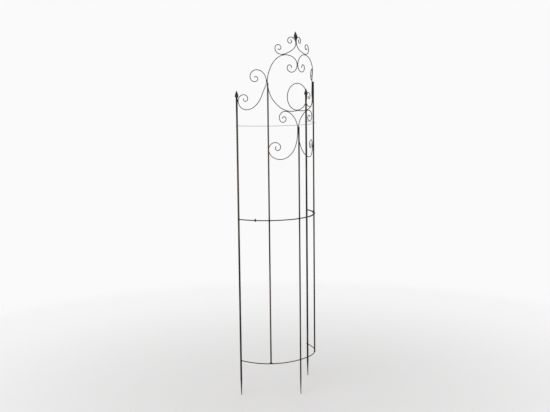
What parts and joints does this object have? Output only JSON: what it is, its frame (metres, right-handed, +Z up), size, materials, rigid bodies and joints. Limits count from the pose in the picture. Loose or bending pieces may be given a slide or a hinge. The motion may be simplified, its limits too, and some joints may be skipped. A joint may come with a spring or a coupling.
{
  "type": "garden trellis",
  "caption": "Tall half round metal garden trellis: round posts on an arc, two sections bolted at flat hoops, wire scrollwork above and bud finials.",
  "frame": {"origin": "on the ground under the middle of the bounding box, at the height of the spike tips", "axes": "+Z up; -Y out from the rounded side, where the centre post stands; +X to the right when the rounded side is looked at from outside"},
  "size_m": [0.512, 0.2236, 1.9348],
  "materials": {
    "bronze_paint": "dark antique bronze paint, satin, slightly mottled",
    "rubbed_bronze": "dark bronze paint rubbed through to warmer brown on its high spots",
    "bright_wire": "plain galvanised tie wire",
    "dark_zinc": "blackened zinc plated fasteners"
  },
  "bodies": {
    "lower_section": {"lower_end_post_left": "bronze_paint", "lower_end_post_right": "bronze_paint", "lower_inner_post_left": "bronze_paint", "lower_inner_post_right": "bronze_paint", "lower_centre_post": "bronze_paint", "bottom_hoop": "bronze_paint", "lower_joint_hoop": "bronze_paint", "joint_bolt_left": "dark_zinc", "joint_bolt_right": "dark_zinc"},
    "upper_section": {"upper_end_post_left": "rubbed_bronze", "upper_end_post_right": "rubbed_bronze", "upper_inner_post_left": "bronze_paint", "upper_inner_post_right": "bronze_paint", "upper_centre_post": "bronze_paint", "upper_joint_hoop": "bronze_paint", "joint_nut_left": "dark_zinc", "joint_nut_right": "dark_zinc", "tie_wire": "bright_wire", "side_scroll_left": "bronze_paint", "side_scroll_right": "bronze_paint", "heart_scroll_left": "bronze_paint", "heart_scroll_right": "bronze_paint", "loop_scroll_left": "bronze_paint", "loop_scroll_right": "bronze_paint", "crown_scroll_left": "bronze_paint", "crown_scroll_right": "bronze_paint", "centre_ring": "bronze_paint", "end_finial_left": "rubbed_bronze", "end_finial_right": "rubbed_bronze", "crown_finial": "rubbed_bronze"}
  },
  "joints": [
    {"name": "upper_section_lift", "type": "slide", "parent": "lower_section", "child": "upper_section", "axis": [0, 0, 1], "range_m": [0, 0.06]}
  ]
}
